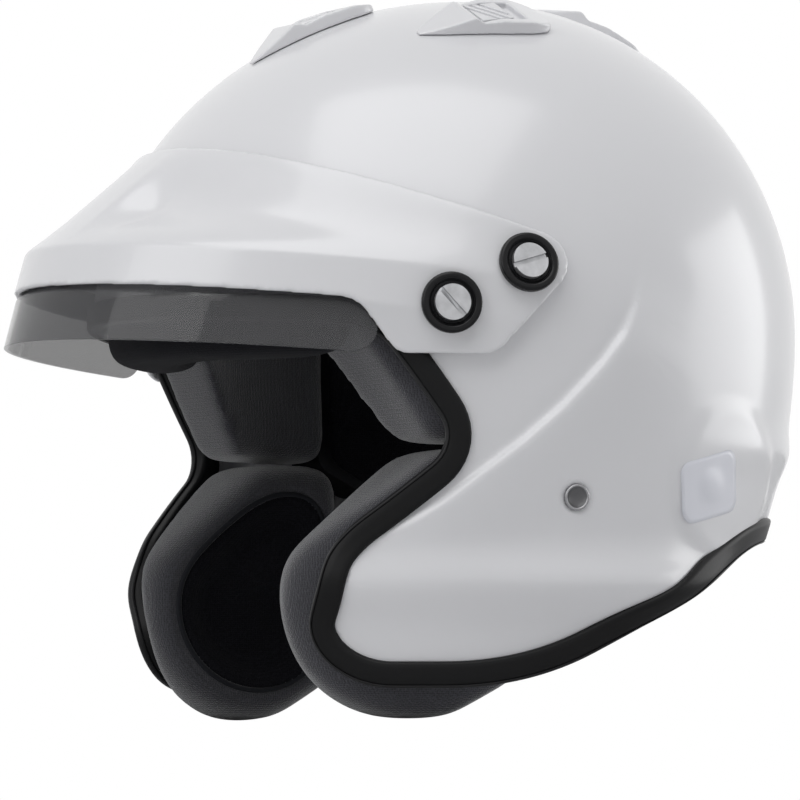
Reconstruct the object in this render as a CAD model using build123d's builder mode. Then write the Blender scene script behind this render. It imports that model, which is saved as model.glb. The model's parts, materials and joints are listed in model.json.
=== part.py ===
"""Open-face auto racing helmet with a peak, a smoked shade and four top vents.

Millimetres, +Z up, the face looks along -Y and the wearer's left is +X.
The origin is the centre of the head: the middle of the shell at its widest level.
"""

from build123d import *
import math
import os

os.makedirs("parts", exist_ok=True)

# Shell: half an ellipsoid in front, another behind, and a skirt below the widest level
half_width = 124.0
front_reach = 147.0
rear_reach = 127.0
crown_height = 129.0
skirt_drop = 140.0
shell_wall = 3.2
skirt_taper_share = 0.11
nape_drop = 80.0
nape_taper = 14.5
nape_roll = 2.7
nape_roll_level = 46.0
nape_roll_spread = 8.0
jaw_bulge = 2.2
jaw_bulge_level = 92.0
jaw_bulge_spread = 14.0
skirt_level_shares = (0, 0.085, 0.17, 0.24, 0.285, 0.33, 0.38, 0.44, 0.52, 0.62, 0.74, 0.87, 0.98, 1.08)

# Clearances and helpers
seat_gap = 0.3
overrun = 60.0
probe = 0.5

# Rim of the shell in side view, as the free edge of its rubber trim
brow_y, brow_z = 88.0, -3.0
brow_rise = 4.5
notch_y, notch_z = 60.0, -46.0
cheek_y, cheek_z = 103.3, -85.5
jaw_bottom = 135.2
jaw_sweep_y = 31.0
nape_y, nape_z = 78.0, -79.0
nape_rise = 0.5
brow_round, notch_round, cheek_round = 20.0, 14.0, 42.0
jaw_round, sweep_round, nape_round = 27.0, 118.0, 70.0

# Rubber edge trim
trim_width = 9.5
trim_lip = 2.5
trim_wall = 2.0

# Foam and padding
liner_thickness = 25.5
liner_brow_z = 10.9
liner_step_y = 19.0
liner_ear_z = -46.5
liner_nape_z = -58.0
liner_round = 10.0
liner_level_shares = (0, 0.17, 0.33, 0.5)
comfort_thickness = 9.0
pad_offset = 6.1
pad_thickness = 34.0
pad_edge_round = 8.0
pad_level_shares = (0, 0.35, 0.7, 1)
pad_edge_level_shares = (0.5, 0.85, 1)
pad_edge_tuck_shares = (0.13, 0.5, 1)
brow_pad_bottom = -13.0
brow_pad_back = 91.0
temple_pad_front = 65.0
temple_pad_back = 20.0
temple_pad_bottom = -45.5
temple_round = 7.0
neck_pad_front = 4.0
neck_pad_thickness = 26.0
neck_pad_bottom = -79.0

# Cheek pads: an outline in side view, carried inwards from the shell
cheek_pad_top = -47.5
cheek_pad_nose_y = 108.5
cheek_pad_nose_z = -88.0
cheek_pad_bottom = 146.5
cheek_pad_top_y = 60.0
cheek_pad_back_y = 27.0
cheek_pad_back_z = -131.0
cheek_pad_foot_y = 52.0
cheek_pad_centre_y, cheek_pad_centre_z = -64.0, -99.0
cheek_pad_inner_x = 50.0
cheek_pad_depth = 66.0
cheek_top_round, cheek_nose_round, cheek_foot_round = 10.0, 23.0, 44.0
cheek_heel_round, cheek_back_round = 18.0, 8.0
cheek_depth_shares = (0, 0.035, 0.11, 0.26, 0.6, 0.82, 1)
cheek_size_shares = (0.82, 0.905, 0.965, 1, 1, 0.975, 0.92)
snap_radius = 6.0
snap_places = ((-84.0, -92.0), (-44.0, -66.0), (-44.0, -112.0))

# Peak: a band at the bottom, a crease, and a skirt up to the shell
peak_wall = 2.6
peak_side_gap = 0.8
crease_z = 10.2
crease_slope = -0.107
crease_reach = 176.3
band_height = 15.9
band_reach = 181.0
tab_depth = 25.0
tab_reach = 152.0
peak_top_z = 22.2
peak_top_slope = -0.358
peak_edge_z = 20.9
peak_edge_gap = 0.4
brim_front_z = 13.8
brim_slope = -0.0923
brim_end_y = 98.5
brim_end_round = 14.0
tab_front_y, tab_bottom = 83.0, -13.9
tab_front_round = 8.0
tab_rear_y = 49.5
tab_rear_round = 10.0
tab_corner_y, tab_corner_round = 13.0, 11.0

# Peak screws, their rubber cup washers, spacers and nuts
front_screw_y, front_screw_z = -63.9, 4.2
rear_screw_y, rear_screw_z = -36.7, 18.7
screw_reach = 40.0
washer_radius = 11.3
washer_height = 3.4
washer_cup_radius = 8.4
washer_cup_depth = 1.6
washer_seat = 0.1
screw_head_radius = 6.65
screw_head_height = 2.6
screw_radius = 2.5
slot_width = 1.7
slot_depth = 1.3
front_slot_angle = 48.0
rear_slot_angle = -15.0
screw_hole_radius = 2.8
spacer_radius = 9.0
nut_length = 6.5
nut_flange_radius = 6.0
nut_flange = 1.2
nut_drop = 1.5
nut_pocket_gap = 1.2

# Smoked shade under the peak
shade_wall = 1.6
shade_half_width = 121.5
shade_top_drop, shade_top_reach = 4.0, 174.6
shade_seat_drop, shade_seat_reach = 15.9, 178.1
shade_knee_drop, shade_knee_reach = 18.2, 180.8
shade_foot_drop, shade_foot_reach = 42.0, 187.4
shade_front_z, shade_slope = -6.8, -0.072
shade_end_y = 90.0
shade_end_round = 9.0

# Top vents: a wedge-fronted housing with a sliding shutter
vent_length = 54.0
vent_half_width = 13.0
vent_height = 6.1
vent_blank = 8.0
vent_plan_shares = ((-0.5, 0.12), (-0.3, 0.54), (0.0, 0.88), (0.26, 1), (0.42, 0.86), (0.5, 0.4))
vent_side_shares = (
    (-0.5, -0.23), (-0.14, 1.05), (-0.075, 0.69), (0.07, 0.8), (0.3, 0.6), (0.48, 0.12), (0.5, -0.26)
)
vent_hump_round, vent_dip_round, vent_tail_round, vent_end_round = 2.5, 0.8, 6.0, 0.6
vent_tail_bow = 2.0
front_vent_y = -68.0
side_vent_x, side_vent_y = 52.5, -20.5
rear_vent_y = 50.0
pocket_front = -4.2
pocket_half_width = 8.5
pocket_floor = 1.3
slider_length = 13.4
slider_travel = 5.0
slider_gap = 0.35
slider_top = 4.7
rib_count = 3
rib_pitch = 3.6
rib_groove = 1.3
rib_depth = 1.5
rib_angle = 28.0
air_slot = 4.4
air_width = 12.0

# Chin strap, its rivets and anchors, and the two rings
strap_y = -12.0
strap_width = 20.0
strap_thickness = 1.8
strap_gap = 0.2
strap_anchor_gap = 2.0
rivet_y, rivet_z = -16.0, -65.6
rivet_radius = 4.6
rivet_height = 2.0
rivet_crown = 1.7
rivet_shank = 2.0
rivet_dish_radius = 6.6
rivet_dish_depth = 0.8
anchor_width = 20.0
anchor_height = 20.0
anchor_thickness = 1.6
anchor_round = 3.0
strap_top_z = -56.0
strap_bend_z = -74.0
strap_drop_x = 88.2
strap_drop_z = -90.0
strap_end_z = -99.0
strap_bend_round = 9.0
strap_fold_low_z, strap_fold_high_z = -126.0, -92.0
strap_fold_pitch = 8.0
ring_wire = 1.5
ring_depth = 17.0
ring_pitch = 4.4
ring_gap = 0.4
ring_round, ring_bow_round = 3.0, 11.0
snap_cap_radius = 5.6
snap_cap_height = 2.2
snap_cap_drop = 26.0

# Threaded terminals for a head restraint
terminal_y, terminal_z = 44.0, -59.9
terminal_radius = 6.0
terminal_bore = 2.5
terminal_length = 6.0
terminal_flange_radius = 9.0
terminal_flange = 1.2
terminal_proud = 0.2


def side_reach(level):
    """Half width of the shell at a level below its widest one."""
    bulge = jaw_bulge * math.exp(-(((level + jaw_bulge_level) / jaw_bulge_spread) ** 2))
    return half_width * (1 - skirt_taper_share * (level / skirt_drop) ** 2) + bulge


def face_reach(level):
    """Distance from the centre to the front of the shell below its widest level."""
    return front_reach * (1 - skirt_taper_share * (level / skirt_drop) ** 2)


def nape_reach(level):
    """Distance from the centre to the back of the shell below its widest level."""
    roll = nape_roll * math.exp(-(((level + nape_roll_level) / nape_roll_spread) ** 2))
    return rear_reach - nape_taper * (level / nape_drop) ** 2 + roll


def helmet_form(inset, level_shares=skirt_level_shares, ruled=False):
    """The solid that the shell's outer face bounds, drawn in by an even inset."""
    side = half_width - inset
    with BuildPart() as dome:
        with BuildSketch(Plane.XZ):
            with BuildLine():
                EllipticalCenterArc((0, 0), side, crown_height - inset, start_angle=0, arc_size=90)
                Line((0, crown_height - inset), (0, 0))
                Line((0, 0), (side, 0))
            make_face()
        revolve(axis=Axis.Z)
    front = split(dome.part, bisect_by=Plane.XZ, keep=Keep.TOP)
    front = scale(front, by=(1, (front_reach - inset) / side, 1))
    rear = split(dome.part, bisect_by=Plane.XZ, keep=Keep.BOTTOM)
    rear = scale(rear, by=(1, (rear_reach - inset) / side, 1))
    with BuildPart() as form:
        for share in level_shares:
            level = -skirt_drop * share
            width = side_reach(level) - inset
            with BuildSketch(Plane.XY.offset(level)):
                with BuildLine():
                    EllipticalCenterArc((0, 0), width, face_reach(level) - inset, start_angle=180, arc_size=180)
                    EllipticalCenterArc((0, 0), width, nape_reach(level) - inset, start_angle=0, arc_size=180)
                make_face()
        loft(ruled=ruled)
        add([front, rear])
    return form.part


def shell_x(y, z, inset=0):
    """Distance of the shell's face from the middle plane at a place in side view."""
    if z >= 0:
        reach = front_reach if y < 0 else rear_reach
        return (half_width - inset) * math.sqrt(
            1 - (y / (reach - inset)) ** 2 - (z / (crown_height - inset)) ** 2
        )
    reach = face_reach(z) if y < 0 else nape_reach(z)
    return (side_reach(z) - inset) * math.sqrt(1 - (y / (reach - inset)) ** 2)


def side_plane(side, y, z, stand=0):
    """A plane on the shell's side, its normal outwards, its x rearwards."""
    here = Vector(side * shell_x(y, z), y, z)
    rearwards = Vector(side * shell_x(y + probe, z), y + probe, z) - here
    upwards = Vector(side * shell_x(y, z + probe), y, z + probe) - here
    normal = (rearwards.cross(upwards) * side).normalized()
    return Plane(origin=here + normal * stand, x_dir=rearwards, z_dir=normal)


def crown_plane(x, y):
    """A plane on the top of the shell, its normal outwards, its x rearwards."""
    reach = front_reach if y < 0 else rear_reach
    z = crown_height * math.sqrt(1 - (x / half_width) ** 2 - (y / reach) ** 2)
    normal = Vector(x / half_width**2, y / reach**2, z / crown_height**2).normalized()
    rearwards = Vector(0, normal.Z, -normal.Y)
    return Plane(origin=(x, y, z), x_dir=rearwards, z_dir=normal)


def side_block(region):
    """A side view region carried right across the helmet."""
    with BuildPart() as block:
        extrude(region, amount=2 * (half_width + overrun), dir=(1, 0, 0))
    return block.part


side_view = Plane.YZ.offset(-half_width - overrun)


def opening_region(grow):
    """Side view of all that lies before and below the rim, grown by an amount."""
    far = front_reach + overrun
    low = -skirt_drop - overrun
    with BuildSketch(side_view) as region:
        with BuildLine():
            rim = FilletPolyline(
                (-far, brow_z + brow_rise * (far - brow_y) / (front_reach - brow_y)),
                (-brow_y, brow_z),
                (-notch_y, notch_z),
                (-cheek_y, cheek_z),
                (-cheek_y, -jaw_bottom),
                (-jaw_sweep_y, -jaw_bottom),
                (nape_y, nape_z),
                (far, nape_z + nape_rise),
                radius=[brow_round, notch_round, cheek_round, jaw_round, sweep_round, nape_round],
            )
            Polyline(rim @ 1, (far, low), (-far, low), rim @ 0)
        make_face()
        if grow:
            offset(amount=grow, kind=Kind.INTERSECTION)
    return region.sketch


def liner_region(grow):
    """Side view of all that lies below the foam liner, grown by an amount."""
    far = front_reach + overrun
    low = -skirt_drop - overrun
    with BuildSketch(side_view) as region:
        with BuildLine():
            edge = FilletPolyline(
                (-far, liner_brow_z),
                (-liner_step_y, liner_brow_z),
                (-liner_step_y, liner_ear_z),
                (neck_pad_front, liner_nape_z),
                (far, liner_nape_z),
                radius=[liner_round, liner_round, liner_round],
            )
            Polyline(edge @ 1, (far, low), (-far, low), edge @ 0)
        make_face()
        if grow:
            offset(amount=grow, kind=Kind.INTERSECTION)
    return region.sketch


def band(outer, inner):
    """The layer between two forms."""
    with BuildPart() as layer:
        add(outer)
        add(inner, mode=Mode.SUBTRACT)
    return layer.part


def finish(build, label):
    """Label a finished piece and write it."""
    build.part.label = label
    export_step(build.part, f"parts/{label}.step")


def level_radii(level, inset):
    """Half width and front and rear reach of a horizontal slice, drawn in by an inset."""
    if level <= 0:
        return side_reach(level) - inset, face_reach(level) - inset, nape_reach(level) - inset
    share = math.sqrt(1 - (level / (crown_height - inset)) ** 2)
    return tuple((size - inset) * share for size in (half_width, front_reach, rear_reach))


def stacked_form(slices):
    """A solid through horizontal slices of the helmet's form, each with its own inset."""
    with BuildPart() as form:
        for level, inset in slices:
            width, front, rear = level_radii(level, inset)
            with BuildSketch(Plane.XY.offset(level)):
                with BuildLine():
                    EllipticalCenterArc((0, 0), width, front, start_angle=180, arc_size=180)
                    EllipticalCenterArc((0, 0), width, rear, start_angle=0, arc_size=180)
                make_face()
        loft(ruled=True)
    return form.part


def pad_ring(top, bottom, thickness):
    """A padded ring along the inside of the shell, its lower edge drawn in."""
    low = bottom + pad_edge_round
    levels = [top + (low - top) * share for share in pad_level_shares]
    levels += [low - pad_edge_round * share for share in pad_edge_level_shares]
    tucks = [0 for share in pad_level_shares] + [pad_edge_round * share for share in pad_edge_tuck_shares]
    outer = stacked_form([(z, pad_offset + tuck) for z, tuck in zip(levels, tucks)])
    inner = stacked_form([(z, pad_offset + thickness - tuck) for z, tuck in zip(levels, tucks)])
    return band(outer, inner)


def side_outline(points, radii):
    """A closed side view outline with rounded corners."""
    with BuildSketch(side_view) as region:
        with BuildLine():
            FilletPolyline(*points, radius=radii, close=True)
        make_face()
    return region.sketch


def slice_plane(height, slope):
    """A plane across the helmet that rises or falls towards the rear."""
    return Plane(origin=(0, 0, height), x_dir=(1, 0, 0), z_dir=(0, -slope, 1))


def front_ellipse(plane, half, reach, centre=0):
    """The front half of an ellipse on a sloped plane."""
    with BuildSketch(plane) as face:
        with BuildLine():
            arc = EllipticalCenterArc((0, centre), half, reach, start_angle=180, arc_size=180)
            Line(arc @ 1, arc @ 0)
        make_face()
    return face.sketch


def shell_slice(height, slope, stand):
    """The front half of the shell's own section on a sloped plane, a stand-off outwards."""
    width, front, crown = half_width + stand, front_reach + stand, crown_height + stand
    spread = 1 / front**2 + slope**2 / crown**2
    centre = -height * slope / (crown**2 * spread)
    share = math.sqrt(1 - (height / crown) ** 2 + spread * centre**2)
    stretch = math.sqrt(1 + slope**2)
    reach = share * stretch / math.sqrt(spread)
    return front_ellipse(slice_plane(height, slope), width * share, reach, centre * stretch)


def peak_form(inset):
    """The solid that the peak's outer face bounds, drawn in by an inset."""
    side = half_width + peak_side_gap + peak_wall - inset
    stretch = math.sqrt(1 + crease_slope**2)
    with BuildPart() as form:
        for drop, reach in (
            (band_height + tab_depth, tab_reach),
            (band_height, band_reach),
            (0, crease_reach),
        ):
            plane = slice_plane(crease_z - drop, crease_slope)
            add(front_ellipse(plane, side, (reach - inset) * stretch))
        add(shell_slice(peak_top_z, peak_top_slope, peak_edge_gap + peak_wall - inset))
        loft(ruled=True)
    return form.part


def shade_form(inset):
    """The solid that the shade's outer face bounds, drawn in by an inset."""
    stretch = math.sqrt(1 + crease_slope**2)
    with BuildPart() as form:
        for drop, reach in (
            (shade_foot_drop, shade_foot_reach),
            (shade_knee_drop, shade_knee_reach),
            (shade_seat_drop, shade_seat_reach),
            (shade_top_drop, shade_top_reach),
        ):
            plane = slice_plane(crease_z - drop, crease_slope)
            add(front_ellipse(plane, shade_half_width - inset, (reach - inset) * stretch))
        loft(ruled=True)
    return form.part


def rivet(plane):
    """A domed rivet on a plane, with the shank that goes through the shell and its anchor."""
    with BuildPart() as piece:
        with BuildSketch(plane):
            Circle(rivet_radius)
        extrude(amount=rivet_height)
        fillet(piece.edges().sort_by(Axis(plane.origin, plane.z_dir))[-1], radius=rivet_crown)
        with BuildSketch(plane):
            Circle(rivet_shank)
        extrude(amount=-(shell_wall + seat_gap + anchor_thickness - rivet_dish_depth))
    return piece.part


def face_point(piece, plane):
    """Where a line along a plane's normal last leaves a piece, and the face's normal there."""
    line = Axis(plane.origin, plane.z_dir)
    hits = [hit for face in piece.faces() for hit in face.find_intersection_points(line)]
    point, normal = max(hits, key=lambda hit: (hit[0] - plane.origin).dot(plane.z_dir))
    return point, normal * math.copysign(1, normal.dot(plane.z_dir))


outer_form = helmet_form(0)
inner_form = helmet_form(shell_wall)
clear_outer = helmet_form(-seat_gap)
liner_outer = helmet_form(shell_wall + seat_gap)
liner_inner = helmet_form(shell_wall + seat_gap + liner_thickness, liner_level_shares, True)

# Peak: two forms, one inside the other, trimmed in side view
ahead = band_reach + overrun
with BuildPart() as peak:
    add(band(peak_form(0), peak_form(peak_wall)))
    outline = side_outline(
        (
            (-ahead, brim_front_z + brim_slope * (band_reach - ahead)),
            (-brim_end_y, brim_front_z + brim_slope * (band_reach - brim_end_y)),
            (-tab_front_y, tab_bottom),
            (-tab_rear_y, tab_bottom),
            (-tab_corner_y, peak_edge_z - peak_top_slope * tab_corner_y),
            (-ahead, peak_edge_z - peak_top_slope * ahead),
        ),
        (0, brim_end_round, tab_front_round, tab_rear_round, tab_corner_round, 0),
    )
    add(side_block(outline), mode=Mode.INTERSECT)

screw_seats = []
for side in (1, -1):
    for y, z, angle in (
        (front_screw_y, front_screw_z, front_slot_angle),
        (rear_screw_y, rear_screw_z, rear_slot_angle),
    ):
        point, normal = face_point(peak.part, side_plane(side, y, z))
        seat = Plane(origin=point, x_dir=(0, 1, 0), z_dir=normal)
        line = Axis(point, normal)
        hits = [hit[0] for face in outer_form.faces() for hit in face.find_intersection_points(line)]
        stand = min((point - hit).dot(normal) for hit in hits if (point - hit).dot(normal) > 0)
        screw_seats.append((seat, stand, side * angle))

with BuildPart() as drilled_peak:
    add(peak.part)
    for seat, stand, angle in screw_seats:
        with Locations(seat):
            Cylinder(screw_hole_radius, screw_reach, mode=Mode.SUBTRACT)
finish(drilled_peak, "peak")

# Shade: a thin smoked band that hangs from the inside of the peak
with BuildPart() as peak_shade:
    add(band(shade_form(0), shade_form(shade_wall)))
    outline = side_outline(
        (
            (-ahead, shade_front_z + shade_slope * (shade_foot_reach - ahead)),
            (-shade_end_y, shade_front_z + shade_slope * (shade_foot_reach - shade_end_y)),
            (-shade_end_y, overrun),
            (-ahead, overrun),
        ),
        (0, shade_end_round, 0, 0),
    )
    add(side_block(outline), mode=Mode.INTERSECT)
finish(peak_shade, "peak_shade")

# Places of what else pierces the shell
rivet_planes = [side_plane(side, rivet_y, rivet_z) for side in (1, -1)]
terminal_planes = [side_plane(side, terminal_y, terminal_z) for side in (1, -1)]
vent_planes = {
    "front": crown_plane(0, front_vent_y),
    "left": crown_plane(side_vent_x, side_vent_y),
    "right": crown_plane(-side_vent_x, side_vent_y),
    "rear": crown_plane(0, rear_vent_y),
}
air_place = pocket_front + slider_gap + air_slot / 2

# Shell
with BuildPart() as shell:
    add(band(outer_form, inner_form))
    add(side_block(opening_region(trim_lip)), mode=Mode.SUBTRACT)
    for seat, stand, angle in screw_seats:
        with Locations(seat.offset(-stand)):
            Cylinder(screw_hole_radius, 4 * shell_wall, mode=Mode.SUBTRACT)
    for plane in rivet_planes:
        with Locations(plane):
            Cylinder(rivet_shank + seat_gap / 2, 4 * shell_wall, mode=Mode.SUBTRACT)
        with Locations(plane.offset(-rivet_dish_depth)):
            Cylinder(
                rivet_dish_radius,
                shell_wall,
                align=(Align.CENTER, Align.CENTER, Align.MIN),
                mode=Mode.SUBTRACT,
            )
    for plane in terminal_planes:
        with Locations(plane):
            Cylinder(terminal_radius + seat_gap / 2, 4 * shell_wall, mode=Mode.SUBTRACT)
    for plane in vent_planes.values():
        with BuildSketch(plane):
            with Locations((air_place, 0)):
                SlotOverall(air_width, air_slot, rotation=90)
        extrude(amount=-2 * shell_wall, mode=Mode.SUBTRACT)
finish(shell, "shell")

# Foam liner under the shell, with an air duct below each vent
with BuildPart() as impact_liner:
    add(liner_outer)
    add(side_block(liner_region(0)), mode=Mode.SUBTRACT)
    add(side_block(opening_region(trim_width + seat_gap)), mode=Mode.SUBTRACT)
    add(liner_inner, mode=Mode.SUBTRACT)
    for seat, stand, angle in screw_seats:
        with Locations(seat.offset(-stand - shell_wall)):
            Cylinder(
                nut_flange_radius + nut_pocket_gap,
                2 * (nut_length + nut_drop + nut_pocket_gap),
                mode=Mode.SUBTRACT,
            )
    for plane in terminal_planes:
        with Locations(plane):
            Cylinder(
                terminal_flange_radius + nut_pocket_gap,
                2 * (terminal_length + nut_pocket_gap),
                mode=Mode.SUBTRACT,
            )
    for plane in vent_planes.values():
        with BuildSketch(plane):
            with Locations((air_place, 0)):
                SlotOverall(air_width, air_slot, rotation=90)
        extrude(amount=-2 * liner_thickness, mode=Mode.SUBTRACT)
finish(impact_liner, "impact_liner")

# Rubber trim that clips over the whole rim
rim_strip = band(side_block(opening_region(trim_width)), side_block(opening_region(0)))
trim_channel = band(clear_outer, liner_outer)
channel_end = side_block(opening_region(trim_lip - seat_gap))
with BuildPart() as edge_trim:
    add(band(helmet_form(-trim_wall - seat_gap), helmet_form(shell_wall + seat_gap + trim_wall)))
    add(rim_strip, mode=Mode.INTERSECT)
    add(band(trim_channel, channel_end), mode=Mode.SUBTRACT)
finish(edge_trim, "edge_trim")

# Screws with a slot, cupped rubber washers, spacers against the shell, and nuts inside
inner_peak = peak_form(peak_wall + seat_gap)
with BuildPart() as peak_screws:
    for seat, stand, angle in screw_seats:
        head = seat.offset(washer_seat + washer_height - washer_cup_depth + washer_seat)
        with BuildSketch(head):
            Circle(screw_head_radius)
        extrude(amount=screw_head_height)
        with BuildSketch(head):
            Circle(screw_radius)
        extrude(amount=-(stand + shell_wall + nut_drop + nut_length + washer_height - washer_cup_depth))
        with BuildSketch(head.offset(screw_head_height)):
            Rectangle(3 * screw_head_radius, slot_width, rotation=angle)
        extrude(amount=-slot_depth, mode=Mode.SUBTRACT)
finish(peak_screws, "peak_screws")

with BuildPart() as screw_washers:
    for seat, stand, angle in screw_seats:
        base = seat.offset(washer_seat)
        with BuildSketch(base):
            Circle(washer_radius)
            Circle(screw_hole_radius, mode=Mode.SUBTRACT)
        extrude(amount=washer_height)
        with BuildSketch(base.offset(washer_height)):
            Circle(washer_cup_radius)
        extrude(amount=-washer_cup_depth, mode=Mode.SUBTRACT)
finish(screw_washers, "screw_washers")

with BuildPart() as peak_spacers:
    for seat, stand, angle in screw_seats:
        with BuildSketch(seat.offset(-stand - shell_wall)):
            Circle(spacer_radius)
            Circle(screw_hole_radius, mode=Mode.SUBTRACT)
        extrude(amount=stand + shell_wall)
    add(inner_peak, mode=Mode.INTERSECT)
    add(clear_outer, mode=Mode.SUBTRACT)
finish(peak_spacers, "peak_spacers")

with BuildPart() as peak_nuts:
    for seat, stand, angle in screw_seats:
        base = seat.offset(-stand - shell_wall - nut_drop)
        with BuildSketch(base):
            Circle(nut_flange_radius)
            Circle(screw_radius + seat_gap / 3, mode=Mode.SUBTRACT)
        extrude(amount=-nut_flange)
        with BuildSketch(base):
            RegularPolygon(nut_flange_radius - nut_flange, 6)
            Circle(screw_radius + seat_gap / 3, mode=Mode.SUBTRACT)
        extrude(amount=-nut_length)
finish(peak_nuts, "peak_nuts")

# Top vents with their sliding shutters
pocket_length = slider_length + slider_travel + 2 * slider_gap
slider_half_width = pocket_half_width - slider_gap
for place, plane in vent_planes.items():
    vent_side = Plane(origin=plane.origin, x_dir=plane.x_dir, z_dir=-plane.y_dir)
    with BuildPart() as vent:
        with BuildSketch(plane.offset(-vent_blank)):
            with BuildLine():
                left = Spline([(vent_length * u, vent_half_width * w) for u, w in vent_plan_shares])
                right = Spline([(vent_length * u, -vent_half_width * w) for u, w in vent_plan_shares])
                Line(left @ 0, right @ 0)
                tail = (left @ 1 + right @ 1) / 2 + Vector(vent_tail_bow, 0)
                ThreePointArc(left @ 1, tail, right @ 1)
            make_face()
        extrude(amount=2 * vent_blank)
        with BuildSketch(vent_side.offset(-2 * vent_half_width)):
            with BuildLine():
                top = FilletPolyline(
                    *[(vent_length * u, vent_height * w) for u, w in vent_side_shares],
                    radius=[vent_hump_round, vent_dip_round, 0, vent_tail_round, vent_end_round],
                )
                Polyline(top @ 1, (vent_length, -vent_blank), (-vent_length, -vent_blank), top @ 0)
            make_face()
        extrude(amount=4 * vent_half_width, mode=Mode.INTERSECT)
        add(clear_outer, mode=Mode.SUBTRACT)
        with BuildSketch(plane.offset(pocket_floor)):
            with Locations((pocket_front + pocket_length / 2, 0)):
                Rectangle(pocket_length, 2 * pocket_half_width)
        extrude(amount=vent_blank, mode=Mode.SUBTRACT)
        with BuildSketch(plane.offset(-vent_blank)):
            with Locations((air_place, 0)):
                SlotOverall(air_width, air_slot, rotation=90)
        extrude(amount=2 * vent_blank, mode=Mode.SUBTRACT)
    finish(vent, f"vent_{place}")

    with BuildPart() as slider:
        with BuildSketch(plane.offset(pocket_floor + slider_gap)):
            with Locations((pocket_front + slider_gap + slider_length / 2, 0)):
                Rectangle(slider_length, 2 * slider_half_width)
        extrude(amount=slider_top - pocket_floor - slider_gap)
        with BuildSketch(plane.offset(slider_top)):
            for groove in range(rib_count):
                along = pocket_front + slider_gap + slider_length / 2
                along += rib_pitch * (groove - (rib_count - 1) / 2)
                with Locations((along, 0)):
                    Rectangle(rib_groove, 3 * slider_half_width, rotation=rib_angle)
        extrude(amount=-rib_depth, mode=Mode.SUBTRACT)
    finish(slider, f"slider_{place}")

# Strap rivets through the shell and the anchor plates behind them
with BuildPart() as strap_rivets:
    for plane in rivet_planes:
        add(rivet(plane.offset(seat_gap / 2 - rivet_dish_depth)))
finish(strap_rivets, "strap_rivets")

with BuildPart() as strap_anchors:
    for plane in rivet_planes:
        with BuildSketch(plane.offset(-shell_wall - seat_gap)):
            RectangleRounded(anchor_width, anchor_height, anchor_round)
            Circle(rivet_shank + seat_gap / 3, mode=Mode.SUBTRACT)
        extrude(amount=-anchor_thickness)
finish(strap_anchors, "strap_anchors")

# Threaded terminals, flanged inside the shell
with BuildPart() as terminals:
    for plane in terminal_planes:
        with BuildSketch(plane.offset(terminal_proud)):
            Circle(terminal_radius)
        extrude(amount=-terminal_length)
        with BuildSketch(plane.offset(-shell_wall - seat_gap)):
            Circle(terminal_flange_radius)
        extrude(amount=-terminal_flange)
        with BuildSketch(plane.offset(terminal_proud)):
            Circle(terminal_bore)
        extrude(amount=-terminal_length, mode=Mode.SUBTRACT)
finish(terminals, "head_restraint_terminals")

# Head padding inside the foam, and the padded rings below it
with BuildPart() as comfort_liner:
    comfort_inset = shell_wall + liner_thickness + 2 * seat_gap
    comfort_outer = helmet_form(comfort_inset, liner_level_shares, True)
    comfort_inner = helmet_form(comfort_inset + comfort_thickness, liner_level_shares, True)
    add(comfort_outer)
    add(side_block(liner_region(seat_gap)), mode=Mode.SUBTRACT)
    add(comfort_inner, mode=Mode.SUBTRACT)
finish(comfort_liner, "comfort_liner")

ring_top = liner_brow_z - seat_gap
with BuildPart() as brow_pad:
    add(pad_ring(ring_top, brow_pad_bottom, pad_thickness))
    outline = side_outline(
        (
            (-ahead, brow_pad_bottom - overrun),
            (-brow_pad_back, brow_pad_bottom - overrun),
            (-brow_pad_back, ring_top + overrun),
            (-ahead, ring_top + overrun),
        ),
        (0, 0, 0, 0),
    )
    add(side_block(outline), mode=Mode.INTERSECT)
finish(brow_pad, "brow_pad")

temple_ring = pad_ring(ring_top + seat_gap, temple_pad_bottom, pad_thickness)
temple_front = brow_pad_back - seat_gap
temple_outline = side_outline(
    (
        (-temple_front, ring_top),
        (-temple_front, brow_z),
        (-temple_pad_front, temple_pad_bottom),
        (-temple_pad_front, temple_pad_bottom - overrun),
        (-temple_pad_back, temple_pad_bottom - overrun),
        (-temple_pad_back, ring_top),
    ),
    (0, temple_round, 0, 0, 0, liner_round),
)
for name, side in (("left", 1), ("right", -1)):
    with BuildPart() as temple_pad:
        add(temple_ring)
        add(side_block(temple_outline), mode=Mode.INTERSECT)
        split(bisect_by=Plane.YZ, keep=Keep.TOP if side > 0 else Keep.BOTTOM)
        for seat, stand, angle in screw_seats:
            with Locations(seat.offset(-stand - shell_wall)):
                Cylinder(
                    nut_flange_radius + nut_pocket_gap,
                    2 * (nut_length + nut_drop + nut_pocket_gap),
                    mode=Mode.SUBTRACT,
                )
    finish(temple_pad, f"temple_pad_{name}")

with BuildPart() as neck_pad:
    add(pad_ring(liner_nape_z - seat_gap, neck_pad_bottom, neck_pad_thickness))
    outline = side_outline(
        (
            (neck_pad_front, neck_pad_bottom - overrun),
            (ahead, neck_pad_bottom - overrun),
            (ahead, liner_nape_z + overrun),
            (neck_pad_front, liner_nape_z + overrun),
        ),
        (0, 0, 0, 0),
    )
    add(side_block(outline), mode=Mode.INTERSECT)
finish(neck_pad, "neck_pad")

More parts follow.
